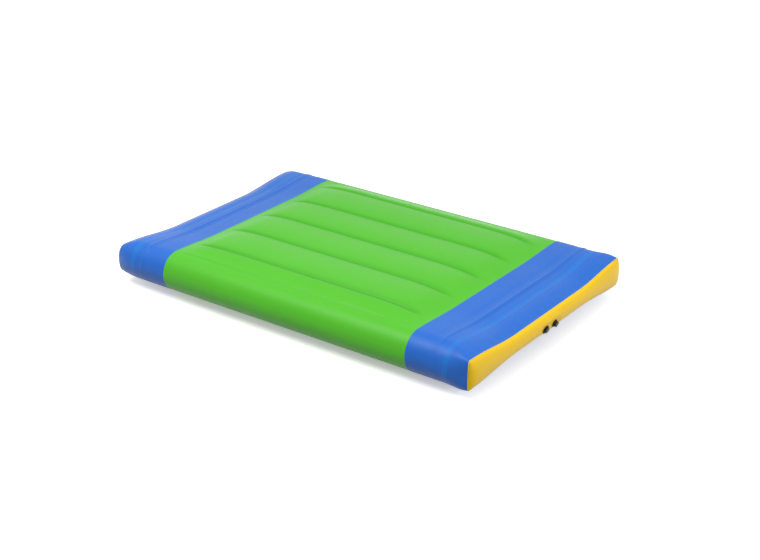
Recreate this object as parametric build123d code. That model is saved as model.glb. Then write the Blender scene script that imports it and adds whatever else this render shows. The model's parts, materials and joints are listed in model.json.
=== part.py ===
from build123d import *
import math
import os

# Inflatable air track mat: a green deck between two blue end bands, closed at each end by a
# bulged yellow panel, with five internal webs and two air valves in one end panel.
# Millimetres, +X along the mat, +Z up, origin under the middle of the mat on its underside.

os.makedirs("parts", exist_ok=True)

# ---- driving dimensions of the mat ----
mat_width = 2000.0            # over the side tubes
seam_to_seam = 2970.0         # between the two end seams, without the bulge of the end panels
deck_length = 2100.0          # green part
crown_length = 1600.0         # stretch of the deck at full thickness
web_length = 1960.0
web_pitch = 350.0
web_count = 5
web_height = 372.0            # thickness of the mat at a web, over the fabric
chamber_rise = 10.0           # how far the deck stands above its webs between them
tube_diameter = 290.0         # thickness of the mat at its long sides
tube_wrap = 80.0              # degrees of the side tube above and below its middle
fabric = 1.0                  # coated fabric
weld_flange = 40.0            # width of the strip that joins a web to the skin

# ---- driving dimensions of the end bands and end panels ----
deck_end_height = 270.0       # thickness in the middle, where green meets blue
ridge_offset = 242.0          # from the seam plane to the ridge round the girth
ridge_height = 202.0
girth_tape_width = 39.0
girth_tape_offset = 137.0     # from the seam plane to the near edge of the girth tape
seam_height = 142.0           # end panel, in the middle
corner_height = 196.0         # end panel, at its square corners
seam_width = 1940.0           # end panel, side to side
side_crown = 4.0              # bulge of the vertical side of the seam
seam_tape_width = 12.0
tape = 0.9

# ---- driving dimensions of the valves ----
valve_tilt = 15.0             # the seat faces outwards and this far down
seat_drop = 32.0              # seat centre below the middle of the panel
seat_reach = 24.0             # seat centre outside the seam plane
seat_half = 36.0              # half height of the flat seat
valve_pitch = 117.0
valve_pair_y = -17.0          # middle of the pair of valves
patch = 1.0
patch_margin = 4.0
gasket = 1.2
slack = 0.1                   # radial play of screwed and sliding fits
running_slack = 0.08

mid_z = web_height / 2
seam_x = seam_to_seam / 2
deck_x = deck_length / 2
crown_x = crown_length / 2
web_x = web_length / 2
web_ys = [(i - (web_count - 1) / 2) * web_pitch for i in range(web_count)]
outer_web = web_ys[-1]
half_flange = weld_flange / 2


def mix(a, b, share):
    return a + (b - a) * share


class Station:
    """Outline of the mat across one plane: heights are above the middle of the thickness."""

    def __init__(self, x, centre, shoulder, rise, corner, side):
        self.x = x
        self.centre = centre        # height at the inner webs
        self.shoulder = shoulder    # height at the outermost webs
        self.rise = rise            # of each chamber above its webs
        self.corner = corner        # (y, z) where the side arc ends
        self.side = side            # y of the side at mid height

    def between(self, other, x):
        share = (x - self.x) / (other.x - self.x)
        corner = [mix(a, b, share) for a, b in zip(self.corner, other.corner)]
        return Station(
            x,
            mix(self.centre, other.centre, share),
            mix(self.shoulder, other.shoulder, share),
            mix(self.rise, other.rise, share),
            corner,
            mix(self.side, other.side, share),
        )


tube_r = tube_diameter / 2
wrap = math.radians(tube_wrap)
tube_y = mat_width / 2 - tube_r
tube_corner = (tube_y + tube_r * math.cos(wrap), tube_r * math.sin(wrap))
half_width = mat_width / 2
web_top = web_height / 2
deck_end_top = deck_end_height / 2
ridge_top = ridge_height / 2
seam_top = seam_height / 2
corner_top = corner_height / 2
flat_rise = 1.0               # the bands have next to no chambers

crown = Station(crown_x, web_top, web_top, chamber_rise, tube_corner, half_width)
deck_end = Station(deck_x, deck_end_top, mix(deck_end_top, tube_r, 0.3), 4.0, tube_corner, half_width)
ridge = Station(
    seam_x - ridge_offset, ridge_top, mix(ridge_top, tube_r, 0.5), flat_rise, tube_corner, half_width
)
seam = Station(
    seam_x,
    seam_top,
    mix(seam_top, corner_top, 0.75),
    flat_rise,
    (seam_width / 2 - side_crown, corner_top),
    seam_width / 2,
)
tape_inner = ridge.between(seam, seam_x - girth_tape_offset - girth_tape_width)
tape_outer = ridge.between(seam, seam_x - girth_tape_offset)
welt_inner = ridge.between(seam, seam_x - seam_tape_width)


def height_at(station, y):
    """Height of the flat strip over a web."""
    return station.shoulder if abs(abs(y) - outer_web) < 1 else station.centre


def half_outline(station, inset, up, sign_x):
    """Edges of the top (up=1) or bottom (up=-1), from the -Y corner to the +Y corner."""
    x = station.x * sign_x

    def point(y, z):
        return Vector(x, y, mid_z + up * z)

    corner_y = station.corner[0] - inset * math.cos(wrap)
    corner_z = station.corner[1] - inset * math.sin(wrap)
    rise = station.rise if up > 0 else 0.0
    edges = []
    last = point(-corner_y, corner_z)
    last_y = None
    for y in web_ys:
        z = height_at(station, y) - inset
        start = point(y - half_flange, z)
        if last_y is None or rise == 0.0:
            edges.append(Edge.make_line(last, start))
        else:
            level = (height_at(station, last_y) + height_at(station, y)) / 2 - inset
            crest = point((y + last_y) / 2, level + rise)
            edges.append(Edge.make_three_point_arc(last, crest, start))
        last = point(y + half_flange, z)
        edges.append(Edge.make_line(start, last))
        last_y = y
    edges.append(Edge.make_line(last, point(corner_y, corner_z)))
    return edges


def outline(station, inset=0.0, sign_x=1):
    x = station.x * sign_x
    corner_y = station.corner[0] - inset * math.cos(wrap)
    corner_z = station.corner[1] - inset * math.sin(wrap)
    side = station.side - inset
    sides = []
    for s in (1, -1):
        low = Vector(x, s * corner_y, mid_z - corner_z)
        high = Vector(x, s * corner_y, mid_z + corner_z)
        sides.append(Edge.make_three_point_arc(low, Vector(x, s * side, mid_z), high))
    return Wire(half_outline(station, inset, 1, sign_x) + half_outline(station, inset, -1, sign_x) + sides)


def lofted(stations, inset=0.0, sign_x=1):
    """Solid through the stations, with straight generators between each pair."""
    body = None
    for a, b in zip(stations, stations[1:]):
        piece = Solid.make_loft([outline(a, inset, sign_x), outline(b, inset, sign_x)], ruled=True)
        body = piece if body is None else body + piece
    return body


def save(shape, name):
    export_step(shape, f"parts/{name}.step")


# ---- deck skin: top, sides and bottom of the green middle ----
def mirrored_station(station):
    return Station(
        -station.x, station.centre, station.shoulder, station.rise, station.corner, station.side
    )


deck_run = [mirrored_station(deck_end), mirrored_station(crown), crown, deck_end]
save(lofted(deck_run) - lofted(deck_run, fabric), "deck_skin")


# ---- webs: one sheet each, with a weld flange at its top and bottom ----
def web_edge(drop, up):
    """Points of a web's edge, a given drop inside the outer face of the skin."""
    end = crown.between(deck_end, web_x)

    def level(station, y_height):
        return mid_z + up * (y_height - drop)

    return lambda y: [
        (-web_x, level(end, height_at(end, y))),
        (-crown_x, level(crown, height_at(crown, y))),
        (crown_x, level(crown, height_at(crown, y))),
        (web_x, level(end, height_at(end, y))),
    ]


def slab(points, y, width):
    """Plate across Y, cut to a closed outline in the XZ plane."""
    loop = [Vector(x, y - width / 2, z) for x, z in points]
    return extrude(Face(Wire.make_polygon(loop, close=True)), amount=width, dir=(0, 1, 0))


def web(y):
    top_out = web_edge(fabric, 1)(y)
    top_in = web_edge(2 * fabric, 1)(y)
    low_out = web_edge(fabric, -1)(y)
    low_in = web_edge(2 * fabric, -1)(y)
    sheet = slab(top_out + low_out[::-1], y, fabric)
    top_flange = slab(top_out + top_in[::-1], y, weld_flange)
    low_flange = slab(low_in + low_out[::-1], y, weld_flange)
    return sheet + top_flange + low_flange


for number, y in enumerate(web_ys, start=1):
    save(web(y), f"web_{number}")


# ---- end panels: a strip that bulges outwards, with a flat seat for the valves ----
tilt = math.radians(valve_tilt)
seat_normal = (math.cos(tilt), -math.sin(tilt))
seat_down = (-math.sin(tilt), -math.cos(tilt))


def panel_section(y, height, swell, inset, back):
    """Outline across the panel at one y: back is how far it runs inside the seam plane."""

    def point(out, z):
        return Vector(seam_x + out, y, mid_z + z)

    half = height - inset
    scale = height / seam_top
    top_seat = (
        (seat_reach - seat_down[0] * seat_half) * swell - inset * seat_normal[0],
        (-seat_drop - seat_down[1] * seat_half) * scale - inset * seat_normal[1],
    )
    low_seat = (
        (seat_reach + seat_down[0] * seat_half) * swell - inset * seat_normal[0],
        (-seat_drop + seat_down[1] * seat_half) * scale - inset * seat_normal[1],
    )
    brow = (top_seat[0] * 0.9, mix(top_seat[1], half, 0.55))
    edges = [
        Edge.make_three_point_arc(point(0, half), point(*brow), point(*top_seat)),
        Edge.make_line(point(*top_seat), point(*low_seat)),
        Edge.make_line(point(*low_seat), point(0, -half)),
    ]
    if back > 0:
        edges.append(Edge.make_line(point(0, -half), point(-back, -half)))
        edges.append(Edge.make_line(point(-back, -half), point(-back, half)))
        edges.append(Edge.make_line(point(-back, half), point(0, half)))
    else:
        edges.append(Edge.make_line(point(0, -half), point(0, half)))
    return Wire(edges)


end_swell = 0.15              # share of the bulge that is left at the panel's square ends
swell_run = 150.0             # length over which the bulge grows from each side


def panel_solid(inset, back):
    """The panel's bulge as a solid, from one side of the seam to the other."""
    edge_y = seam_width / 2 - side_crown / 2 - inset
    shoulder_y = outer_web
    flat_y = outer_web - web_pitch + half_flange
    side_top = corner_top
    shoulder_top = seam.shoulder
    run_y = edge_y - swell_run
    run_top = mix(shoulder_top, side_top, (run_y - shoulder_y) / (edge_y - shoulder_y))
    half = [
        (flat_y, seam_top, 1.0),
        (shoulder_y, shoulder_top, 1.0),
        (run_y, run_top, 0.9),
        (edge_y, side_top, end_swell),
    ]
    sections = [(-y, z, s) for y, z, s in reversed(half)] + half
    wires = [panel_section(y, z, s, inset, back) for y, z, s in sections]
    body = None
    for a, b in zip(wires, wires[1:]):
        piece = Solid.make_loft([a, b], ruled=True)
        body = piece if body is None else body + piece
    return body


panel = panel_solid(0.0, 0.0) - panel_solid(fabric, 2.0)
seat_x = seam_x + seat_reach
seat_z = mid_z - seat_drop


def seat_at(y):
    """Frame of a valve: its +Z points out of the mat."""
    normal = (seat_normal[0], 0, seat_normal[1])
    return Location(Plane(origin=(seat_x, y, seat_z), x_dir=(0, 1, 0), z_dir=normal))


inflation_seat = seat_at(valve_pair_y - valve_pitch / 2)
relief_seat = seat_at(valve_pair_y + valve_pitch / 2)


def ring(outer, inner, low, high):
    """Flat ring, or a disc where inner is 0, from one height to another."""
    body = Pos(0, 0, low) * extrude(Circle(outer), amount=high - low)
    if inner > 0:
        body -= Pos(0, 0, low - 1) * extrude(Circle(inner), amount=high - low + 2)
    return body


# ---- inflation valve: sizes along its axis are from the outer face of the end panel ----
flange_r = 31.0
base_r = 19.0                 # threaded barrel that comes out through the panel
insert_r = 16.5               # valve body's barrel, inside the base
air_r = 13.0
neck_r = 17.5
neck_top = 15.0
flange_thick = 3.8
base_thick = 3.0
insert_depth = 22.0
seat_lip = 2.0
seat_r = 10.5
stem_r = 2.5
hub_r = 5.0
hub_low = -16.0
hub_high = -13.0
spoke = 2.4
spoke_count = 3
button_r = 6.0
button_low = 8.0
button_thick = 3.0
plunger_travel = 8.0
seal_thick = 1.5
seal_r = 13.5
poppet_r = 12.5
poppet_thick = 2.5
clip_r = 5.0
clip_thick = 1.0
clip_groove = 0.6
spring_wire = 1.0
plunger_spring_r = 4.0
plunger_turns = 5
cap_r = 21.0
cap_top = 18.5
liner = 1.0
cap_lip = 0.2
rib_count = 18
rib_r = 0.9
hole_slack = 0.5

relief_flange_r = 28.0
relief_base_r = 16.0
relief_insert_r = 13.5
relief_air_r = 9.0
relief_neck_r = 17.5
relief_neck_bore = 14.5
relief_neck_top = 16.0
relief_insert_depth = 8.0
relief_lip = 1.0
relief_lip_r = 11.0
relief_stem_r = 2.0
relief_hub_r = 4.0
relief_hub_low = -6.0
relief_hub_high = -2.0
relief_seal_r = 12.0
relief_seal = 1.5
relief_disc = 2.0
relief_boss_r = 3.0
relief_boss = 1.5
relief_spring_r = 5.0
relief_turns = 4
guard_r = 20.5
guard_roof = 20.6             # underside of the guard's roof
guard_thick = 2.0
vent_count = 6
vent_r = 2.5
vent_circle = 11.0

flange_low = patch + gasket


def valve_base(flange, barrel, bore):
    """Inner half of a valve: its flange lies inside the panel, its barrel comes through."""
    low = -fabric - base_thick
    return ring(flange, bore, low, -fabric) + ring(barrel, bore, low, flange_low - 0.2)


def spider(hub, bore, low, high, reach):
    """Guide for a stem: a hub on spokes across the air way."""
    body = ring(hub, 0, low, high)
    for k in range(spoke_count):
        arm = Box(reach, spoke, high - low, align=(Align.MIN, Align.CENTER, Align.MIN))
        body += Rot(0, 0, k * 360 / spoke_count) * Pos(0, 0, low) * arm
    return body - ring(bore, 0, low - 1, high + 1)


def coil(radius, wire, turns, low, high):
    """Compression spring between two faces."""
    gap = wire / 2 + slack
    pitch = (high - low - 2 * gap) / turns
    path = Edge.make_helix(pitch=pitch, height=pitch * turns, radius=radius)
    section = Plane(origin=path @ 0, z_dir=path % 0) * Circle(wire / 2)
    return Pos(0, 0, low + gap) * sweep(section, path=path, is_frenet=True)


def inflation_valve():
    seat_low = -insert_depth
    body = ring(insert_r, air_r, seat_low, flange_low)
    body += ring(insert_r, seat_r, seat_low, seat_low + seat_lip)
    body += ring(flange_r, air_r, flange_low, flange_low + flange_thick)
    body += ring(neck_r, air_r, flange_low + flange_thick, neck_top)
    body += spider(hub_r, stem_r + running_slack, hub_low, hub_high, air_r + 1)
    seal_low = seat_low - seal_thick
    poppet_low = seal_low - poppet_thick
    clip_low = poppet_low - clip_thick
    stem = ring(stem_r, 0, clip_low - clip_thick, button_low)
    stem += ring(button_r, 0, button_low, button_low + button_thick)
    stem -= ring(stem_r + 1, stem_r - clip_groove, clip_low, poppet_low)
    cap = ring(cap_r, 0, flange_low + flange_thick + cap_lip, cap_top)
    cap -= ring(neck_r + slack, 0, 0, neck_top + liner)
    for k in range(rib_count):
        angle = k * 360 / rib_count
        rib = Pos(cap_r, 0, flange_low + flange_thick + cap_lip) * extrude(Circle(rib_r), amount=9.0)
        cap += Rot(0, 0, angle) * rib
    return {
        "inflation_valve_base": valve_base(flange_r, base_r, insert_r + slack),
        "inflation_valve_gasket": ring(flange_r, base_r + slack, patch, flange_low),
        "inflation_valve_body": body,
        "inflation_valve_stem": stem,
        "inflation_valve_seal": ring(seal_r, stem_r + slack, seal_low, seat_low),
        "inflation_valve_poppet": ring(poppet_r, stem_r + slack, poppet_low, seal_low),
        "inflation_valve_clip": ring(clip_r, stem_r - clip_groove + slack, clip_low, poppet_low),
        "inflation_valve_spring": coil(plunger_spring_r, spring_wire, plunger_turns, hub_high, button_low),
        "inflation_valve_cap_liner": ring(neck_r, 0, neck_top, neck_top + liner),
        "inflation_valve_cap": cap,
    }


def relief_valve():
    floor = flange_low + flange_thick
    lip_top = floor + relief_lip
    body = ring(relief_insert_r, relief_air_r, -relief_insert_depth, flange_low)
    body += ring(relief_flange_r, relief_air_r, flange_low, floor)
    body += ring(relief_neck_r, relief_neck_bore, floor, relief_neck_top)
    body += ring(relief_lip_r, relief_air_r, floor, lip_top)
    hub_bore = relief_stem_r + running_slack
    body += spider(relief_hub_r, hub_bore, relief_hub_low, relief_hub_high, relief_air_r + 1)
    disc_low = lip_top + relief_seal
    disc_top = disc_low + relief_disc
    poppet = ring(relief_seal_r, 0, disc_low, disc_top)
    poppet += ring(relief_stem_r, 0, relief_hub_low - 2, disc_low)
    poppet += ring(relief_boss_r, 0, disc_top, disc_top + relief_boss)
    guard = ring(guard_r, 0, floor + cap_lip, guard_roof + guard_thick)
    guard -= ring(relief_neck_r + slack, 0, 0, relief_neck_top + cap_lip)
    guard -= ring(relief_neck_bore, 0, relief_neck_top, guard_roof)
    for k in range(vent_count):
        vent = Pos(vent_circle, 0, guard_roof - 1) * extrude(Circle(vent_r), amount=guard_thick + 2)
        guard -= Rot(0, 0, k * 360 / vent_count) * vent
    return {
        "relief_valve_base": valve_base(relief_flange_r, relief_base_r, relief_insert_r + slack),
        "relief_valve_gasket": ring(relief_flange_r, relief_base_r + slack, patch, flange_low),
        "relief_valve_body": body,
        "relief_valve_seal": ring(relief_seal_r, relief_stem_r + slack, lip_top, disc_low),
        "relief_valve_poppet": poppet,
        "relief_valve_spring": coil(relief_spring_r, spring_wire, relief_turns, disc_top, guard_roof),
        "relief_valve_guard": guard,
    }


for location, pieces in ((inflation_seat, inflation_valve()), (relief_seat, relief_valve())):
    for name, piece in pieces.items():
        save(location * piece, name)


# ---- end panels, with the valve holes in the one at +X, and the patch round them ----
inflation_hole = inflation_seat * ring(base_r + hole_slack, 0, -10, 10)
relief_hole = relief_seat * ring(relief_base_r + hole_slack, 0, -10, 10)
save(panel - inflation_hole - relief_hole, "end_panel_right")
save(Rot(0, 0, 180) * panel, "end_panel_left")

patch_length = valve_pitch + flange_r + relief_flange_r + 2 * patch_margin
patch_shift = (relief_flange_r - flange_r) / 2
patch_blank = extrude(SlotOverall(patch_length, 2 * (flange_r + patch_margin)), amount=patch)
valve_patch = seat_at(valve_pair_y + patch_shift) * patch_blank
save(valve_patch - inflation_hole - relief_hole, "valve_patch")

# ---- end bands, girth tapes and seam tapes, one of each at either end ----
band_run = [deck_end, ridge, tape_inner, tape_outer, welt_inner, seam]
for sign_x, end in ((1, "right"), (-1, "left")):
    band = lofted(band_run, 0.0, sign_x) - lofted(band_run, fabric, sign_x)
    save(band, f"end_band_{end}")
    girth = [tape_inner, tape_outer]
    save(lofted(girth, -tape, sign_x) - lofted(girth, 0.0, sign_x), f"girth_tape_{end}")
    welt = [welt_inner, seam]
    save(lofted(welt, -tape, sign_x) - lofted(welt, 0.0, sign_x), f"seam_tape_{end}")
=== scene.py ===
import bpy
import bmesh
import json
import math
import mathutils
import numpy as np
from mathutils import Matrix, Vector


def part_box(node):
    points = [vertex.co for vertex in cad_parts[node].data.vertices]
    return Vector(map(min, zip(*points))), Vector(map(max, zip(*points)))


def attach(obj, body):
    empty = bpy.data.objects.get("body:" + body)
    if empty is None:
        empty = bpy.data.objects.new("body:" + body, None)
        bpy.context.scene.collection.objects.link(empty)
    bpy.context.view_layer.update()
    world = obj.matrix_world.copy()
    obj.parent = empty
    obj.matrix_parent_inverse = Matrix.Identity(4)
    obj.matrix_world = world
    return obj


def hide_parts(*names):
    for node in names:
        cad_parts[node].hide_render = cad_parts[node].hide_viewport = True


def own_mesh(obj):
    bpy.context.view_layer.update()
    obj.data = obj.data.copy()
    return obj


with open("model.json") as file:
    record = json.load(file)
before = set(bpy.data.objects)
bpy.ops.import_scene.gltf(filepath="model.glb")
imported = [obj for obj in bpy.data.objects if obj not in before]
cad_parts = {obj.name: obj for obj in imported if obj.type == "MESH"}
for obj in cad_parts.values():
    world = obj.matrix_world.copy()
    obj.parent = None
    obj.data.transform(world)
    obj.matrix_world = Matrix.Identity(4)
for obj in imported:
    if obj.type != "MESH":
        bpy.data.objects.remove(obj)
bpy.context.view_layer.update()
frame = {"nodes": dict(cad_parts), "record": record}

# Deck skin: the green middle of the mat. One sheet of PVC-coated polyester goes over the top,
# round the side tubes and under the bottom, hot-air welded to the webs inside, whose weld lines
# show as grooves. Air pressure crowns it between the webs and rounds its long sides.

deck_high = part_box("deck_skin")[1]
band_low, band_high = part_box("end_band_right")
half_width = deck_high.y
deck_x = deck_high.x
seam_x = band_high.x
mid_z = (band_low.z + band_high.z) / 2
web_ys = [(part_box(f"web_{k}")[0].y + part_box(f"web_{k}")[1].y) / 2 for k in range(1, 6)]
web_pitch = web_ys[1] - web_ys[0]
web_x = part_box("web_3")[1].x
deck_step = 0.0145

# Radius of the side tubes, and half thickness between them in the middle and at the end seams.
tube_r = 0.1447
middle_half = 0.1401
seam_half = 0.1083
thinning_x = deck_x - 0.286

# The last stretch of each end draws in to its seam, at the sides and above and below. The left
# end's corners are blown rounder than the right end's square ones.
pinch_run = 0.2325
pinch_power = 2.78
pinch_sides = 0.0264
pinch_faces = 0.0400
left_corner_r, right_corner_r = 0.070, 0.022
left_squareness, right_squareness = 0.7, 2.5

# Shoulder that falls from the side tubes, and the crown over the webs, which fades out towards
# the sides and the ends.
shoulder_run = 0.44
shoulder_pinched = 0.10
floor_gap = 0.0005
crown_half = mid_z - floor_gap
crown_side, crown_side_run = 0.935, 0.25
crown_end, crown_end_run, crown_end_power = 0.55, 0.465, 2.6

# Swells and hollows round each end: height, distance from the seam, half width and squareness.
ridge = (0.0045, 0.243, 0.010, 2)
hollow = (-0.0045, 0.290, 0.028, 2)
tape_bed = (-0.0035, 0.157, 0.019, 4)
end_roll = (0.0050, 0.080, 0.045, 2)
step_down, step_from, step_run = 0.0070, 0.240, 0.022
side_relief, tube_relief, under_relief = 0.2, 0.4, 0.15


def ease(share):
    share = np.clip(share, 0.0, 1.0)
    return share * share * (3 - 2 * share)


def deck_level(x):
    """Half thickness in the middle of the mat, without the crown that the webs give it."""
    reach = ease((np.abs(x) - thinning_x) / (seam_x - thinning_x))
    return middle_half + (seam_half - middle_half) * reach


def end_pinch(x):
    """How far the skin has drawn in towards the end seam, from 0 to 1."""
    return np.clip((np.abs(x) - (seam_x - pinch_run)) / pinch_run, 0, 1) ** pinch_power


def girth_relief(x):
    """Ridge, hollow and step that the girth tape pulls into the end bands, in height."""
    from_seam = seam_x - np.abs(x)
    relief = -step_down * ease((step_from - from_seam) / step_run)
    for height, middle, spread, squareness in (ridge, hollow, tape_bed, end_roll):
        relief = relief + height * np.exp(-((from_seam - middle) / spread) ** squareness)
    return relief


def half_rings(x, relief, arc_points, top_points):
    """Points from the +Y side over the top to the -Y side, one ring for each x, above mid height."""
    pinch = end_pinch(x)
    left = x < 0
    wide = half_width - pinch_sides * pinch + side_relief * relief
    side_round = tube_r * (1 - pinch) + np.where(left, left_corner_r, right_corner_r) * pinch
    tube_half = tube_r - pinch_faces * pinch + tube_relief * relief
    middle = deck_level(x) - pinch_faces * pinch + relief
    square = 2 + np.where(left, left_squareness, right_squareness) * pinch
    turn = np.linspace(0, math.pi / 2, arc_points)[None, :]
    inner = wide - side_round
    side_y = inner + side_round * np.cos(turn) ** (2 / square)
    side_z = tube_half * np.sin(turn) ** (2 / square)
    top_y = inner * np.linspace(1, -1, top_points)[None, 1:-1]
    blend_run = shoulder_run + shoulder_pinched * pinch
    shoulder = 0.5 + 0.5 * np.cos(math.pi * np.clip((inner - np.abs(top_y)) / blend_run, 0, 1))
    top_z = middle + (tube_half - middle) * shoulder
    crown_in = ease((crown_side - np.abs(top_y)) / crown_side_run)
    crown_run = 1 - np.clip((np.abs(x) - crown_end) / crown_end_run, 0, 1) ** crown_end_power
    top_z = top_z + (crown_half - top_z) * crown_run * crown_in
    y = np.concatenate([side_y, top_y, -side_y[:, ::-1]], 1)
    return y, np.concatenate([side_z, top_z, side_z[:, ::-1]], 1)


def skin_loops(stations, arc_points=22, top_points=220):
    """Rings of points round the mat, one at each x, and how far round each point is."""
    x = np.asarray(stations)[:, None]
    y, z = half_rings(x, girth_relief(x), arc_points, top_points)
    low_y, low_z = half_rings(x, under_relief * girth_relief(x), arc_points, top_points)
    y = np.concatenate([y, low_y[:, -2:0:-1]], 1)
    z = np.concatenate([z, -low_z[:, -2:0:-1]], 1)
    loops = np.stack([np.broadcast_to(x, y.shape), y, z + mid_z], -1)
    step = np.linalg.norm(np.diff(np.concatenate([loops, loops[:, :1]], 1), axis=1), axis=2)
    round_way = np.concatenate([np.zeros((len(loops), 1)), np.cumsum(step, 1)], 1)
    return loops, round_way


def outward(rows):
    """Unit vectors straight out of the sheet, across the mat, at each point of its rings."""
    run = np.roll(rows, -1, axis=1) - np.roll(rows, 1, axis=1)
    out = np.stack([np.zeros_like(run[..., 0]), -run[..., 2], run[..., 1]], -1)
    size = np.linalg.norm(out, axis=2, keepdims=True)
    out = out / np.maximum(size, 1e-9)
    side = np.sign(np.sum(out * (rows - [0, 0, mid_z]), axis=2, keepdims=True))
    return out * np.where(side == 0, 1, side)


def sheet_mesh(name, rows, round_way, along=None, closed=True):
    """Quads between rows of points, with a UV map in metres along and round the mat."""
    count, width = rows.shape[:2]
    mesh = bpy.data.meshes.new(name)
    spans = width if closed else width - 1
    i, j = np.meshgrid(np.arange(count - 1), np.arange(spans), indexing="ij")
    k = (j + 1) % width
    quads = np.stack([i * width + j, i * width + k, (i + 1) * width + k, (i + 1) * width + j], -1)
    mesh.from_pydata(rows.reshape(-1, 3).tolist(), [], quads.reshape(-1, 4).tolist())
    if along is None:
        along = rows[:, 0, 0]
    u = np.stack([along[i], along[i], along[i + 1], along[i + 1]], -1)
    v = np.stack([round_way[i, j], round_way[i, j + 1], round_way[i + 1, j + 1], round_way[i + 1, j]], -1)
    layer = mesh.uv_layers.new(name="cloth")
    layer.data.foreach_set("uv", np.stack([u, v], -1).reshape(-1).astype(np.float32))
    mesh.polygons.foreach_set("use_smooth", np.ones(len(mesh.polygons), bool))
    mesh.update()
    piece = bpy.data.objects.new(name, mesh)
    bpy.context.scene.collection.objects.link(piece)
    return piece


def stations_between(low, high, step):
    return np.linspace(low, high, max(2, round((high - low) / step) + 1))


def srgb(code):
    """Linear colour of an sRGB hex value."""
    parts = [int(code[k:k + 2], 16) / 255 for k in (1, 3, 5)]
    return [c / 12.92 if c <= 0.04045 else ((c + 0.055) / 1.055) ** 2.4 for c in parts] + [1.0]


def add_node(tree, kind, settings=None, inputs=None, links=None):
    """A node with its settings, its input values and the links into it."""
    node = tree.nodes.new(kind)
    for key, value in (settings or {}).items():
        setattr(node, key, value)
    for key, value in (inputs or {}).items():
        node.inputs[key].default_value = value
    for key, source in (links or {}).items():
        tree.links.new(source, node.inputs[key])
    return node


def coated_fabric(name, colour, worn, pressed_and_shaded=None):
    """PVC-coated polyester: calendered PVC over a woven scrim, with a soft even gloss. The
    scrim prints through as a faint grid, and handling leaves the gloss slightly uneven."""
    # The threads are drawn 2.8 mm apart, about twice their real spacing, so that they show. The
    # drifts of the colour, the scuffs and the ripples are counted per metre.
    thread = 0.0028
    drifts, scuffs, ripples = 3.2, 60.0, 9.0
    material = bpy.data.materials.new(name)
    material.use_nodes = True
    tree = material.node_tree
    tree.nodes.clear()
    place = add_node(tree, "ShaderNodeTexCoord")
    drift = add_node(
        tree,
        "ShaderNodeTexNoise",
        inputs={"Scale": drifts, "Detail": 3.0},
        links={"Vector": place.outputs["Object"]},
    )
    tone = add_node(
        tree,
        "ShaderNodeMix",
        {"data_type": "RGBA"},
        {"A": srgb(colour), "B": srgb(worn)},
        {"Factor": drift.outputs["Fac"]},
    )
    base = tone.outputs["Result"]
    # A third colour, where given, darkens the skin along the webs: partly the fabric pressed by the weld,
    # partly painted shade in the creases.
    if pressed_and_shaded:
        weld = add_node(tree, "ShaderNodeAttribute", {"attribute_name": "weld_line_shade"})
        lines = add_node(
            tree,
            "ShaderNodeMix",
            {"data_type": "RGBA"},
            {"B": srgb(pressed_and_shaded)},
            {"A": base, "Factor": weld.outputs["Fac"]},
        )
        base = lines.outputs["Result"]
    scuff = add_node(
        tree,
        "ShaderNodeTexNoise",
        inputs={"Scale": scuffs, "Detail": 4.0},
        links={"Vector": place.outputs["Object"]},
    )
    rough = add_node(
        tree,
        "ShaderNodeMapRange",
        inputs={"To Min": 0.34, "To Max": 0.48},
        links={"Value": scuff.outputs["Fac"]},
    )
    grid = add_node(
        tree,
        "ShaderNodeMapping",
        inputs={"Scale": (1 / thread, 1 / thread, 1)},
        links={"Vector": place.outputs["UV"]},
    )
    axes = add_node(tree, "ShaderNodeSeparateXYZ", links={"Vector": grid.outputs["Vector"]})
    waves = []
    for axis in ("X", "Y"):
        turn = add_node(
            tree, "ShaderNodeMath", {"operation": "MULTIPLY"}, {1: 2 * math.pi}, {0: axes.outputs[axis]}
        )
        waves.append(add_node(tree, "ShaderNodeMath", {"operation": "SINE"}, links={0: turn.outputs[0]}))
    weave = add_node(
        tree,
        "ShaderNodeMath",
        {"operation": "ADD"},
        links={0: waves[0].outputs[0], 1: waves[1].outputs[0]},
    )
    print_through = add_node(
        tree,
        "ShaderNodeBump",
        inputs={"Strength": 0.12, "Distance": 0.0002},
        links={"Height": weave.outputs[0]},
    )
    ripple = add_node(
        tree,
        "ShaderNodeTexNoise",
        inputs={"Scale": ripples, "Detail": 2.0},
        links={"Vector": place.outputs["Object"]},
    )
    slack_skin = add_node(
        tree,
        "ShaderNodeBump",
        inputs={"Strength": 0.25, "Distance": 0.006},
        links={"Height": ripple.outputs["Fac"], "Normal": print_through.outputs["Normal"]},
    )
    shader = add_node(
        tree,
        "ShaderNodeBsdfPrincipled",
        inputs={"IOR": 1.53, "Specular IOR Level": 0.28},
        links={
            "Base Color": base,
            "Roughness": rough.outputs["Result"],
            "Normal": slack_skin.outputs["Normal"],
        },
    )
    add_node(tree, "ShaderNodeOutputMaterial", links={"Surface": shader.outputs["BSDF"]})
    return material


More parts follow.
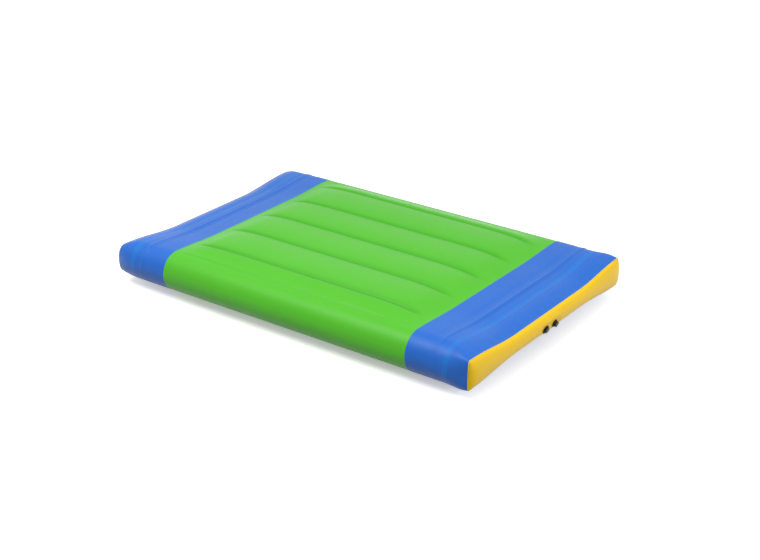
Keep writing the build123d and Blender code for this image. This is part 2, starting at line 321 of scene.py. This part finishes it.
def chamber_tree():
    """Raises the skin between the webs and creases it along them. The crease fades out past the ends of the
    webs, and the underside is held flat, so only its creases are left there. It also stores a mask along the
    webs, which the green material uses for painted shade in the creases."""
    tree = bpy.data.node_groups.new("web_chambers", "GeometryNodeTree")
    tree.interface.new_socket("Skin", in_out="INPUT", socket_type="NodeSocketGeometry")
    for label, value in (
        ("Web pitch", web_pitch),
        ("Chamber rise", 0.018),
        ("Crest squareness", 2.2),
        ("Crease depth", 0.009),
        ("Crease width", 0.012),
        ("Weld line shade width", 0.022),
        ("Web half length", web_x),
        ("End fade", 0.16),
        ("Outer web", web_ys[-1]),
        ("Side fade", 0.13),
        ("Middle height", mid_z),
    ):
        socket = tree.interface.new_socket(label, in_out="INPUT", socket_type="NodeSocketFloat")
        socket.default_value = value
    tree.interface.new_socket("Skin", in_out="OUTPUT", socket_type="NodeSocketGeometry")
    given = add_node(tree, "NodeGroupInput")
    spot = add_node(tree, "GeometryNodeInputPosition")
    axes = add_node(tree, "ShaderNodeSeparateXYZ", links={"Vector": spot.outputs[0]})
    smooth = {"interpolation_type": "SMOOTHSTEP"}
    ends = add_node(tree, "ShaderNodeMapRange", smooth)
    sides = add_node(tree, "ShaderNodeMapRange", smooth, {"From Max": 0.0})
    values = {socket.name: socket for node in (given, axes) for socket in node.outputs}
    values["end share"] = ends.outputs["Result"]
    values["side share"] = sides.outputs["Result"]

    # The rule for the skin's height, a step at a time: a name, what is done, and to what.
    for label, operation, *terms in (
        ("pitches across", "DIVIDE", "Y", "Web pitch"),
        ("nearest web", "ROUND", "pitches across"),
        ("past web", "SUBTRACT", "pitches across", "nearest web"),
        ("off web", "ABSOLUTE", "past web"),
        ("from web", "MULTIPLY", "off web", "Web pitch"),
        ("to crest", "MULTIPLY", "off web", 2),
        ("short of crest", "SUBTRACT", 1, "to crest"),
        ("crest fall", "POWER", "short of crest", "Crest squareness"),
        ("crest", "SUBTRACT", 1, "crest fall"),
        ("crest rise", "MULTIPLY", "crest", "Chamber rise"),
        ("crease widths", "DIVIDE", "from web", "Crease width"),
        ("widths squared", "POWER", "crease widths", 2),
        ("crease fade", "MULTIPLY", "widths squared", -1),
        ("crease", "EXPONENT", "crease fade"),
        ("crease drop", "MULTIPLY", "crease", "Crease depth"),
        ("lift", "SUBTRACT", "crest rise", "crease drop"),
        ("length out", "ABSOLUTE", "X"),
        ("from web end", "SUBTRACT", "Web half length", "length out"),
        ("past web end", "MULTIPLY", "End fade", -0.2),
        ("width out", "ABSOLUTE", "Y"),
        ("from outer web", "SUBTRACT", "Outer web", "width out"),
        ("past outer web", "MULTIPLY", "Side fade", -1),
        ("share", "MULTIPLY", "end share", "side share"),
        ("top shift", "MULTIPLY", "lift", "share"),
        ("under shift", "MULTIPLY", "crease drop", "share"),
        ("height", "SUBTRACT", "Z", "Middle height"),
        ("on top", "GREATER_THAN", "height", 0),
        # A mask along each web, faded like the crease, that carries the painted crease shade to the material.
        ("line widths", "DIVIDE", "from web", "Weld line shade width"),
        ("line fade", "MULTIPLY", "line widths", -1),
        ("line", "EXPONENT", "line fade"),
        ("weld line shade", "MULTIPLY", "line", "share"),
    ):
        step = add_node(tree, "ShaderNodeMath", {"operation": operation})
        for slot, term in enumerate(terms):
            if isinstance(term, str):
                tree.links.new(values[term], step.inputs[slot])
            else:
                step.inputs[slot].default_value = term
        values[label] = step.outputs[0]
    for node, key, term in (
        (ends, "Value", "from web end"),
        (ends, "From Min", "past web end"),
        (ends, "From Max", "End fade"),
        (sides, "Value", "from outer web"),
        (sides, "From Min", "past outer web"),
    ):
        tree.links.new(values[term], node.inputs[key])
    rise = add_node(
        tree,
        "ShaderNodeMix",
        {"data_type": "FLOAT"},
        links={"Factor": values["on top"], "A": values["under shift"], "B": values["top shift"]},
    )
    shift = add_node(tree, "ShaderNodeCombineXYZ", links={"Z": rise.outputs["Result"]})
    placed = add_node(
        tree,
        "GeometryNodeSetPosition",
        links={"Geometry": given.outputs["Skin"], "Offset": shift.outputs["Vector"]},
    )
    # The mask of painted crease shade is stored on the skin's points.
    marked = add_node(
        tree,
        "GeometryNodeStoreNamedAttribute",
        {"data_type": "FLOAT", "domain": "POINT"},
        {"Name": "weld_line_shade"},
        {"Geometry": placed.outputs["Geometry"], "Value": values["weld line shade"]},
    )
    real = add_node(tree, "GeometryNodeRealizeInstances", links={"Geometry": marked.outputs["Geometry"]})
    paint = add_node(
        tree,
        "GeometryNodeSetMaterial",
        inputs={"Material": green_pvc},
        links={"Geometry": real.outputs["Geometry"]},
    )
    add_node(tree, "NodeGroupOutput", links={"Skin": paint.outputs["Geometry"]})
    return tree


def bake_nodes(piece, tree):
    """Runs a Geometry Nodes tree on a piece and keeps the result as its plain mesh."""
    modifier = piece.modifiers.new(tree.name, "NODES")
    modifier.node_group = tree
    seen = piece.evaluated_get(bpy.context.evaluated_depsgraph_get())
    result = bpy.data.meshes.new_from_object(seen)
    piece.modifiers.remove(modifier)
    piece.data = result
    result.polygons.foreach_set("use_smooth", np.ones(len(result.polygons), bool))
    return piece


# The third green is the darker, more saturated colour of the creases: painted shade, with a little of the
# pressed weld.
green_pvc = coated_fabric("green_pvc_coated_polyester", "#52BD22", "#4DB81C", pressed_and_shaded="#37A20A")
deck_rows, deck_round = skin_loops(stations_between(-deck_x, deck_x, deck_step))
deck = sheet_mesh("deck_skin_inflated", deck_rows, deck_round)
bake_nodes(deck, chamber_tree())
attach(deck, "mat")
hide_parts("deck_skin")

# End bands: blue PVC-coated polyester, wrapped round the whole girth at each end and lapped over
# the green sheet in a hot-air weld. The girth tape pulls in a ridge and a step, and the band
# draws in to the end seam.

blue_pvc = coated_fabric("blue_pvc_coated_polyester", "#1C6ACC", "#1A65C6")
lap = 0.0012
lap_over = 0.020
lap_rise = 0.003
band_step = 0.006

# The sheet is gathered a little beside the seam: depth, distance from the seam, half width, and
# the lengths of the puckers.
gather_depth = 0.0004
gather_from_seam = 0.035
gather_spread = 0.022
pucker_lengths = (0.083, 0.121, 0.207)
pucker_turns = np.random.default_rng(7).uniform(0, 2 * math.pi, len(pucker_lengths))
for end, sign in (("right", 1), ("left", -1)):
    stations = stations_between(deck_x - lap_over, seam_x, band_step)
    rows, round_way = skin_loops(stations if sign > 0 else -stations[::-1])
    from_edge = np.abs(np.abs(rows[:, 0, 0]) - deck_x + lap_over)
    grow = (lap * np.clip(from_edge / lap_rise, 0, 1))[:, None]
    from_seam = seam_x - np.abs(rows[:, 0, 0])
    drawn = np.exp(-((from_seam - gather_from_seam) / gather_spread) ** 2)[:, None]
    pucker = sum(
        gather_depth * np.sin(round_way[:, :-1] * 2 * math.pi / length + turn)
        for length, turn in zip(pucker_lengths, pucker_turns)
    )
    rows = rows + outward(rows) * (grow + drawn * pucker)[..., None]
    band = sheet_mesh(f"end_band_{end}_inflated", rows, round_way)
    band.data.materials.append(blue_pvc)
    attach(band, "mat")
    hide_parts(f"end_band_{end}")

# Girth tapes: a narrow tape of lighter blue PVC welded round each end band, in the hollow that
# it pulls into the band.

azure_pvc = coated_fabric("azure_pvc_tape", "#0F74D2", "#0E6FCB")
tape_low, tape_high = seam_x - 0.176, seam_x - 0.137
tape_wall = 0.0010
tape_edge = 0.004
tape_step = 0.003
for end, sign in (("right", 1), ("left", -1)):
    stations = stations_between(tape_low, tape_high, tape_step)
    rows, round_way = skin_loops(stations if sign > 0 else -stations[::-1])
    from_edge = np.minimum(np.abs(rows[:, 0, 0]) - tape_low, tape_high - np.abs(rows[:, 0, 0]))
    grow = (lap + tape_wall * ease(from_edge / tape_edge))[:, None, None]
    rows = rows + outward(rows) * grow
    tape = sheet_mesh(f"girth_tape_{end}_welded", rows, round_way)
    tape.data.materials.append(azure_pvc)
    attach(tape, "mat")
    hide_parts(f"girth_tape_{end}")

# End panels: a yellow strip closes each end between the top and bottom seams. Pressure bulges it
# outwards; its sides stay square, and round the valves the rigid flanges hold it flat.

yellow_pvc = coated_fabric("yellow_pvc_coated_polyester", "#F7CB08", "#F3C506")
panel_bulge = 0.036
panel_lines = 49
bulge_squareness, bulge_roundness, side_squareness = 2.3, 0.62, 26

# The valves sit on the panel, tilted down a little. It is flat under their flanges, eases back
# to the bulge round them, and gives way to the seam where that comes close.
valve_tilt = math.radians(15)
seat_normal = np.array([math.cos(valve_tilt), 0, -math.sin(valve_tilt)])
seat_depth = 0.0016
held_r, held_fade, seam_fade = 0.036, 0.045, 0.07
valve_hole_r = 0.0205
valve_spots = []
for gasket in ("inflation_valve_gasket", "relief_valve_gasket"):
    low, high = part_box(gasket)
    valve_spots.append(np.array((low + high) / 2) - seat_normal * seat_depth)


def panel_rows(sign):
    """Points of the panel: rows from the top seam down to the bottom, columns across the mat."""
    edge, _ = skin_loops([seam_x * sign])
    ring = edge[0]
    half = len(ring) // 2 + 1
    top = ring[:half]
    under = np.concatenate([ring[half - 1:], ring[:1]])[::-1]
    across = top[:, 1]
    share = np.sin(np.linspace(math.pi / 2, -math.pi / 2, panel_lines))[:, None]
    side = (1 - (np.abs(across) / across.max())[None, :] ** side_squareness) ** 0.5
    bulge = panel_bulge * (1 - np.abs(share) ** bulge_squareness) ** bulge_roundness * side
    rows = (top + under)[None] / 2 + share[..., None] * (top - under)[None] / 2
    rows[..., 0] = seam_x + bulge
    if sign > 0:
        for spot in valve_spots:
            gap = rows - spot
            away = np.linalg.norm(gap[..., 1:], axis=2)
            hold = (1 - ease((away - held_r) / held_fade)) * ease((1 - np.abs(share)) / seam_fade)
            flat_x = spot[0] - (gap[..., 2] * seat_normal[2]) / seat_normal[0]
            rows[..., 0] += hold * (flat_x - rows[..., 0])
    else:
        rows[..., 0] *= -1
        rows = rows[:, ::-1]
    return rows


def cut_valve_holes(mesh):
    """Opens the panel for the valves' barrels, with a round edge that their flanges cover."""
    work = bmesh.new()
    work.from_mesh(mesh)
    for spot in valve_spots:
        centre = mathutils.Vector(spot)
        inside = [face for face in work.faces if (face.calc_center_median() - centre).length < valve_hole_r]
        bmesh.ops.delete(work, geom=inside, context="FACES")
        for vert in work.verts:
            away = vert.co - centre
            if vert.is_boundary and away.length < 2 * valve_hole_r:
                away -= away.dot(mathutils.Vector(seat_normal)) * mathutils.Vector(seat_normal)
                vert.co = centre + away.normalized() * valve_hole_r
    work.to_mesh(mesh)
    work.free()


def merge_points(mesh):
    """Closes the points that meet at the middle of each side seam."""
    work = bmesh.new()
    work.from_mesh(mesh)
    bmesh.ops.remove_doubles(work, verts=work.verts, dist=1e-5)
    bmesh.ops.dissolve_degenerate(work, edges=work.edges, dist=1e-6)
    work.to_mesh(mesh)
    work.free()


for end, sign in (("right", 1), ("left", -1)):
    rows = panel_rows(sign)
    way = np.cumsum(np.linalg.norm(np.diff(rows, axis=1, prepend=rows[:, :1]), axis=2), 1)
    panel = sheet_mesh(f"end_panel_{end}_inflated", rows, way, rows[:, len(way[0]) // 2, 2], closed=False)
    merge_points(panel.data)
    if sign > 0:
        cut_valve_holes(panel.data)
    panel.data.materials.append(yellow_pvc)
    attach(panel, "mat")
    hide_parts(f"end_panel_{end}")

# Seam welts: a bead of PVC tape covers the weld between each blue band and its end panel, all round the
# opening. The bead is coloured a paler yellow than the panel: a painted highlight along the seam.

# Pale yellow: a painted highlight along the seam bead.
welt_pvc = coated_fabric("welt_pvc_painted_highlight", "#E9D24A", "#E2C93C")


def welt_tree():
    """A round bead that follows the seam's curve."""
    tree = bpy.data.node_groups.new("seam_bead", "GeometryNodeTree")
    tree.interface.new_socket("Seam", in_out="INPUT", socket_type="NodeSocketGeometry")
    bead = tree.interface.new_socket("Bead radius", in_out="INPUT", socket_type="NodeSocketFloat")
    bead.default_value = 0.0028
    tree.interface.new_socket("Bead", in_out="OUTPUT", socket_type="NodeSocketGeometry")
    given = add_node(tree, "NodeGroupInput")
    profile = add_node(
        tree,
        "GeometryNodeCurvePrimitiveCircle",
        inputs={"Resolution": 10},
        links={"Radius": given.outputs["Bead radius"]},
    )
    line = add_node(tree, "GeometryNodeMeshToCurve", links={"Mesh": given.outputs["Seam"]})
    swept = add_node(
        tree,
        "GeometryNodeCurveToMesh",
        links={"Curve": line.outputs[0], "Profile Curve": profile.outputs["Curve"]},
    )
    real = add_node(tree, "GeometryNodeRealizeInstances", links={"Geometry": swept.outputs["Mesh"]})
    paint = add_node(
        tree,
        "GeometryNodeSetMaterial",
        inputs={"Material": welt_pvc},
        links={"Geometry": real.outputs["Geometry"]},
    )
    add_node(tree, "NodeGroupOutput", links={"Bead": paint.outputs["Geometry"]})
    return tree


bead_tree = welt_tree()
for end, sign in (("right", 1), ("left", -1)):
    rows, _ = skin_loops([seam_x * sign])
    seam_line = rows[0]
    mesh = bpy.data.meshes.new(f"seam_line_{end}")
    count = len(seam_line)
    mesh.from_pydata(seam_line.tolist(), [(k, (k + 1) % count) for k in range(count)], [])
    welt = bpy.data.objects.new(f"seam_welt_{end}", mesh)
    bpy.context.scene.collection.objects.link(welt)
    bake_nodes(welt, bead_tree)
    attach(welt, "mat")
    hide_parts(f"seam_tape_{end}")

# Webs: five sheets of plain coated polyester inside, each with a flange along its top and its
# bottom edge that is hot-air welded to the skin. Their edges follow the skin's inner face.

web_cloth = coated_fabric("plain_coated_web", "#D9DCD6", "#D2D5CE")
flange_half = 0.020
web_wall = 0.0010
under_skin = 0.0016
ring_size = deck_rows.shape[1]
deck_points = np.empty(len(deck.data.vertices) * 3)
deck.data.vertices.foreach_get("co", deck_points)
deck_points = deck_points.reshape(-1, ring_size, 3)


def web_ring(ring, web_y):
    """Outline of one web across the mat: an I with its flanges under the skin."""
    half = ring_size // 2 + 1
    spots = web_y + np.linspace(-flange_half, flange_half, 9)
    top = np.interp(spots, ring[:half, 1][::-1], ring[:half, 2][::-1]).min() - under_skin
    under = np.concatenate([ring[half - 1:], ring[:1]])
    low = np.interp(spots, under[:, 1], under[:, 2]).max() + under_skin
    thin = web_wall / 2
    near, far = web_y - flange_half, web_y + flange_half
    outline = [(far, top), (near, top), (near, top - web_wall), (web_y - thin, top - web_wall)]
    outline += [(web_y - thin, low + web_wall), (near, low + web_wall), (near, low), (far, low)]
    outline += [(far, low + web_wall), (web_y + thin, low + web_wall)]
    outline += [(web_y + thin, top - web_wall), (far, top - web_wall)]
    return [(ring[0, 0], y, z) for y, z in outline]


for number, web_y in enumerate(web_ys, 1):
    rings = [web_ring(ring, web_y) for ring in deck_points if abs(ring[0, 0]) < web_x]
    rows = np.array(rings)
    way = np.linspace(0, 1, rows.shape[1] + 1)[None, :].repeat(len(rows), 0)
    web = sheet_mesh(f"web_{number}_welded", rows, way)
    work = bmesh.new()
    work.from_mesh(web.data)
    bmesh.ops.holes_fill(work, edges=work.edges, sides=0)
    bmesh.ops.triangulate(work, faces=[face for face in work.faces if len(face.verts) > 4])
    bmesh.ops.recalc_face_normals(work, faces=work.faces)
    work.to_mesh(web.data)
    work.free()
    web.data.materials.append(web_cloth)
    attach(web, "mat")
    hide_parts(f"web_{number}")

# Valves: glass-filled nylon mouldings on a welded PVC patch, with rubber gaskets and seals and
# stainless springs. The patch is cut from the same yellow sheet.


def moulded_nylon():
    """Black nylon out of a spark-eroded mould: matt, with a fine grain of two close blacks."""
    grains_per_metre = 900.0
    material = bpy.data.materials.new("black_moulded_nylon")
    material.use_nodes = True
    tree = material.node_tree
    tree.nodes.clear()
    place = add_node(tree, "ShaderNodeTexCoord")
    grain = add_node(
        tree,
        "ShaderNodeTexNoise",
        inputs={"Scale": grains_per_metre, "Detail": 2.0},
        links={"Vector": place.outputs["Object"]},
    )
    tone = add_node(
        tree,
        "ShaderNodeMix",
        {"data_type": "RGBA"},
        {"A": srgb("#0D0E0F"), "B": srgb("#151618")},
        {"Factor": grain.outputs["Fac"]},
    )
    bump = add_node(
        tree,
        "ShaderNodeBump",
        inputs={"Strength": 0.2, "Distance": 0.0002},
        links={"Height": grain.outputs["Fac"]},
    )
    shader = add_node(
        tree,
        "ShaderNodeBsdfPrincipled",
        inputs={"Roughness": 0.46, "IOR": 1.53, "Specular IOR Level": 0.3},
        links={"Base Color": tone.outputs["Result"], "Normal": bump.outputs["Normal"]},
    )
    add_node(tree, "ShaderNodeOutputMaterial", links={"Surface": shader.outputs["BSDF"]})
    return material


def seal_rubber():
    """Soft nitrile rubber: dull, dark, slightly bloomed."""
    blooms_per_metre = 180.0
    material = bpy.data.materials.new("nitrile_rubber")
    material.use_nodes = True
    tree = material.node_tree
    tree.nodes.clear()
    place = add_node(tree, "ShaderNodeTexCoord")
    bloom = add_node(
        tree,
        "ShaderNodeTexNoise",
        inputs={"Scale": blooms_per_metre, "Detail": 3.0},
        links={"Vector": place.outputs["Object"]},
    )
    tone = add_node(
        tree,
        "ShaderNodeMix",
        {"data_type": "RGBA"},
        {"A": srgb("#202020"), "B": srgb("#2E2D2C")},
        {"Factor": bloom.outputs["Fac"]},
    )
    shader = add_node(
        tree,
        "ShaderNodeBsdfPrincipled",
        inputs={"Roughness": 0.78, "IOR": 1.52},
        links={"Base Color": tone.outputs["Result"]},
    )
    add_node(tree, "ShaderNodeOutputMaterial", links={"Surface": shader.outputs["BSDF"]})
    return material


def spring_steel():
    """Drawn stainless wire: bright, with fine marks that make its gloss uneven."""
    marks_per_metre = 1500.0
    material = bpy.data.materials.new("drawn_stainless_steel")
    material.use_nodes = True
    tree = material.node_tree
    tree.nodes.clear()
    place = add_node(tree, "ShaderNodeTexCoord")
    marks = add_node(
        tree,
        "ShaderNodeTexNoise",
        inputs={"Scale": marks_per_metre, "Detail": 1.0},
        links={"Vector": place.outputs["Object"]},
    )
    rough = add_node(
        tree,
        "ShaderNodeMapRange",
        inputs={"To Min": 0.18, "To Max": 0.32},
        links={"Value": marks.outputs["Fac"]},
    )
    shader = add_node(
        tree,
        "ShaderNodeBsdfPrincipled",
        inputs={"Base Color": srgb("#C4C6C8"), "Metallic": 1.0},
        links={"Roughness": rough.outputs["Result"]},
    )
    add_node(tree, "ShaderNodeOutputMaterial", links={"Surface": shader.outputs["BSDF"]})
    return material


finishes = {
    "valve_plastic": moulded_nylon(),
    "seal_rubber": seal_rubber(),
    "spring_steel": spring_steel(),
    "patch_fabric": yellow_pvc,
}
for part in frame["record"]["subparts"]:
    if part["material_slot"] in finishes:
        node = frame["nodes"][part["node"]]
        node.data.materials.clear()
        node.data.materials.append(finishes[part["material_slot"]])

# Valve springs: compression springs coiled from drawn stainless wire, each as wide and as long as the solid
# spring that it replaces, and standing on its low end.

wire = 0.0010


def spring_tree(steel):
    """A coil of round wire, from its radius, its height and its number of turns."""
    tree = bpy.data.node_groups.new("coiled_wire", "GeometryNodeTree")
    tree.interface.new_socket("Wire", in_out="OUTPUT", socket_type="NodeSocketGeometry")
    for label, value in (("Coil radius", 0.004), ("Height", 0.02), ("Turns", 5.0), ("Wire radius", wire / 2)):
        socket = tree.interface.new_socket(label, in_out="INPUT", socket_type="NodeSocketFloat")
        socket.default_value = value
    given = add_node(tree, "NodeGroupInput")
    line = add_node(
        tree,
        "GeometryNodeCurveSpiral",
        inputs={"Resolution": 36},
        links={
            "Rotations": given.outputs["Turns"],
            "Start Radius": given.outputs["Coil radius"],
            "End Radius": given.outputs["Coil radius"],
            "Height": given.outputs["Height"],
        },
    )
    profile = add_node(
        tree,
        "GeometryNodeCurvePrimitiveCircle",
        inputs={"Resolution": 14},
        links={"Radius": given.outputs["Wire radius"]},
    )
    swept = add_node(
        tree,
        "GeometryNodeCurveToMesh",
        inputs={"Fill Caps": True},
        links={"Curve": line.outputs[0], "Profile Curve": profile.outputs["Curve"]},
    )
    real = add_node(tree, "GeometryNodeRealizeInstances", links={"Geometry": swept.outputs["Mesh"]})
    paint = add_node(
        tree,
        "GeometryNodeSetMaterial",
        inputs={"Material": steel},
        links={"Geometry": real.outputs["Geometry"]},
    )
    add_node(tree, "NodeGroupOutput", links={"Wire": paint.outputs["Geometry"]})
    return tree


wire_tree = spring_tree(finishes["spring_steel"])
axis = mathutils.Vector(seat_normal)
for valve, spot, turns, joint, travel, far_end_fixed in (
    ("inflation", valve_spots[0], 5, "plunger_push", 0.008, False),
    ("relief", valve_spots[1], 4, "relief_open", 0.004, True),
):
    solid = frame["nodes"][f"{valve}_valve_spring"]
    offsets = [vert.co - mathutils.Vector(spot) for vert in solid.data.vertices]
    along_axis = [offset.dot(axis) for offset in offsets]
    low, high = min(along_axis), max(along_axis)
    radius = max((offset - offset.dot(axis) * axis).length for offset in offsets) - wire / 2
    height = high - low - wire
    spring = bpy.data.objects.new(f"{valve}_valve_coil", bpy.data.meshes.new(f"{valve}_valve_coil"))
    bpy.context.scene.collection.objects.link(spring)
    modifier = spring.modifiers.new("coiled_wire", "NODES")
    modifier.node_group = wire_tree
    for item in wire_tree.interface.items_tree:
        if item.in_out == "INPUT":
            sizes = {"Coil radius": radius, "Height": height, "Turns": float(turns), "Wire radius": wire / 2}
            modifier[item.identifier] = sizes[item.name]
    seen = spring.evaluated_get(bpy.context.evaluated_depsgraph_get())
    result = bpy.data.meshes.new_from_object(seen)
    spring.modifiers.remove(modifier)
    spring.data = result
    stand = axis.to_track_quat("Z", "Y").to_matrix().to_4x4()
    stand.translation = mathutils.Vector(spot) + axis * (low + wire / 2)
    result.transform(stand)
    result.polygons.foreach_set("use_smooth", np.ones(len(result.polygons), bool))
    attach(spring, "mat")
    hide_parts(f"{valve}_valve_spring")
    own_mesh(spring)

# Studio: a pale floor that keeps the mat's shadow, even light from above and a camera above the
# mat's near right corner.


def studio_floor():
    """White to the camera and in gloss, with the shadow left near the mat, and a mid grey that
    throws little light back up at the mat."""
    shadow_reach, clear_reach = 1.2, 3.6
    shadow_glow = 0.35
    material = bpy.data.materials.new("white_floor")
    material.use_nodes = True
    tree = material.node_tree
    tree.nodes.clear()
    ray = add_node(tree, "ShaderNodeLightPath")
    seen_or_gloss = add_node(
        tree,
        "ShaderNodeMath",
        {"operation": "MAXIMUM"},
        links={0: ray.outputs["Is Camera Ray"], 1: ray.outputs["Is Glossy Ray"]},
    )
    clear = add_node(
        tree,
        "ShaderNodeMath",
        {"operation": "MAXIMUM"},
        links={0: seen_or_gloss.outputs[0], 1: ray.outputs["Is Transmission Ray"]},
    )
    place = add_node(tree, "ShaderNodeTexCoord")
    away = add_node(
        tree, "ShaderNodeVectorMath", {"operation": "LENGTH"}, links={0: place.outputs["Object"]}
    )
    own_light = add_node(
        tree,
        "ShaderNodeMapRange",
        inputs={"From Min": shadow_reach, "From Max": clear_reach, "To Min": shadow_glow, "To Max": 1.0},
        links={"Value": away.outputs["Value"]},
    )
    glow = add_node(tree, "ShaderNodeEmission", links={"Strength": own_light.outputs["Result"]})
    white = add_node(tree, "ShaderNodeBsdfDiffuse", inputs={"Color": srgb("#FFFFFF")})
    bright = add_node(tree, "ShaderNodeAddShader", links={0: white.outputs[0], 1: glow.outputs[0]})
    dull = add_node(tree, "ShaderNodeBsdfDiffuse", inputs={"Color": srgb("#5A5A5A")})
    mixed = add_node(
        tree, "ShaderNodeMixShader", links={0: clear.outputs[0], 1: dull.outputs[0], 2: bright.outputs[0]}
    )
    add_node(tree, "ShaderNodeOutputMaterial", links={"Surface": mixed.outputs[0]})
    return material


floor_size = 40.0
floor_drop = 0.0005
floor_mesh = bpy.data.meshes.new("floor")
corners = [(-1, -1), (1, -1), (1, 1), (-1, 1)]
floor_points = [(a * floor_size, b * floor_size, -floor_drop) for a, b in corners]
floor_mesh.from_pydata(floor_points, [], [(0, 1, 2, 3)])
floor_mesh.materials.append(studio_floor())
floor = bpy.data.objects.new("floor", floor_mesh)
bpy.context.scene.collection.objects.link(floor)

# The world lights the mat evenly, and is full white to the camera and in gloss.
world_light = 0.55
world = bpy.data.worlds.new("studio")
bpy.context.scene.world = world
world.use_nodes = True
sky = world.node_tree
sky.nodes.clear()
ray = add_node(sky, "ShaderNodeLightPath")
camera_or_gloss = add_node(
    sky,
    "ShaderNodeMath",
    {"operation": "MAXIMUM"},
    links={0: ray.outputs["Is Camera Ray"], 1: ray.outputs["Is Glossy Ray"]},
)
clear_rays = add_node(
    sky,
    "ShaderNodeMath",
    {"operation": "MAXIMUM"},
    links={0: camera_or_gloss.outputs[0], 1: ray.outputs["Is Transmission Ray"]},
)
level = add_node(
    sky,
    "ShaderNodeMapRange",
    inputs={"To Min": world_light, "To Max": 1.0},
    links={"Value": clear_rays.outputs[0]},
)
glow = add_node(
    sky,
    "ShaderNodeBackground",
    inputs={"Color": srgb("#FFFFFF")},
    links={"Strength": level.outputs["Result"]},
)
add_node(sky, "ShaderNodeOutputWorld", links={"Surface": glow.outputs[0]})


def softbox(name, spot, aim, size, watts):
    """A rectangular soft light at a spot, turned to face a point."""
    lamp = bpy.data.lights.new(name, "AREA")
    lamp.shape = "RECTANGLE"
    lamp.size, lamp.size_y = size
    lamp.energy = watts
    box = bpy.data.objects.new(name, lamp)
    box.location = spot
    box.rotation_euler = (mathutils.Vector(aim) - mathutils.Vector(spot)).to_track_quat("-Z", "Y").to_euler()
    bpy.context.scene.collection.objects.link(box)


softbox("overhead", (-1.2, -3.2, 6.0), (0, 0, 0.2), (5.0, 3.5), 300.0)
softbox("end_fill", (6.0, 0.5, 2.6), (1.2, 0, 0.2), (3.0, 2.0), 120.0)

# The camera stands off the mat's near right corner and looks down at its middle.
camera_spot = (5.6664, -7.6714, 4.4157 + mid_z - tube_r)
azimuth, elevation, roll = (math.radians(angle) for angle in (35.878, 24.707, 0.214))
camera_data = bpy.data.cameras.new("camera")
camera_data.sensor_width = 36.0
camera_data.lens = 69.53
camera = bpy.data.objects.new("camera", camera_data)
ahead = np.array(
    [-math.sin(azimuth) * math.cos(elevation), math.cos(azimuth) * math.cos(elevation), -math.sin(elevation)]
)
level_right = np.array([math.cos(azimuth), math.sin(azimuth), 0])
level_up = np.cross(level_right, ahead)
right = level_right * math.cos(roll) + level_up * math.sin(roll)
up = level_up * math.cos(roll) - level_right * math.sin(roll)
place = np.eye(4)
place[:3, 0], place[:3, 1], place[:3, 2] = right, up, -ahead
place[:3, 3] = camera_spot
camera.matrix_world = mathutils.Matrix([list(row) for row in place])
bpy.context.scene.collection.objects.link(camera)
bpy.context.scene.camera = camera
bpy.context.scene.view_settings.view_transform = "Standard"

bpy.context.view_layer.update()
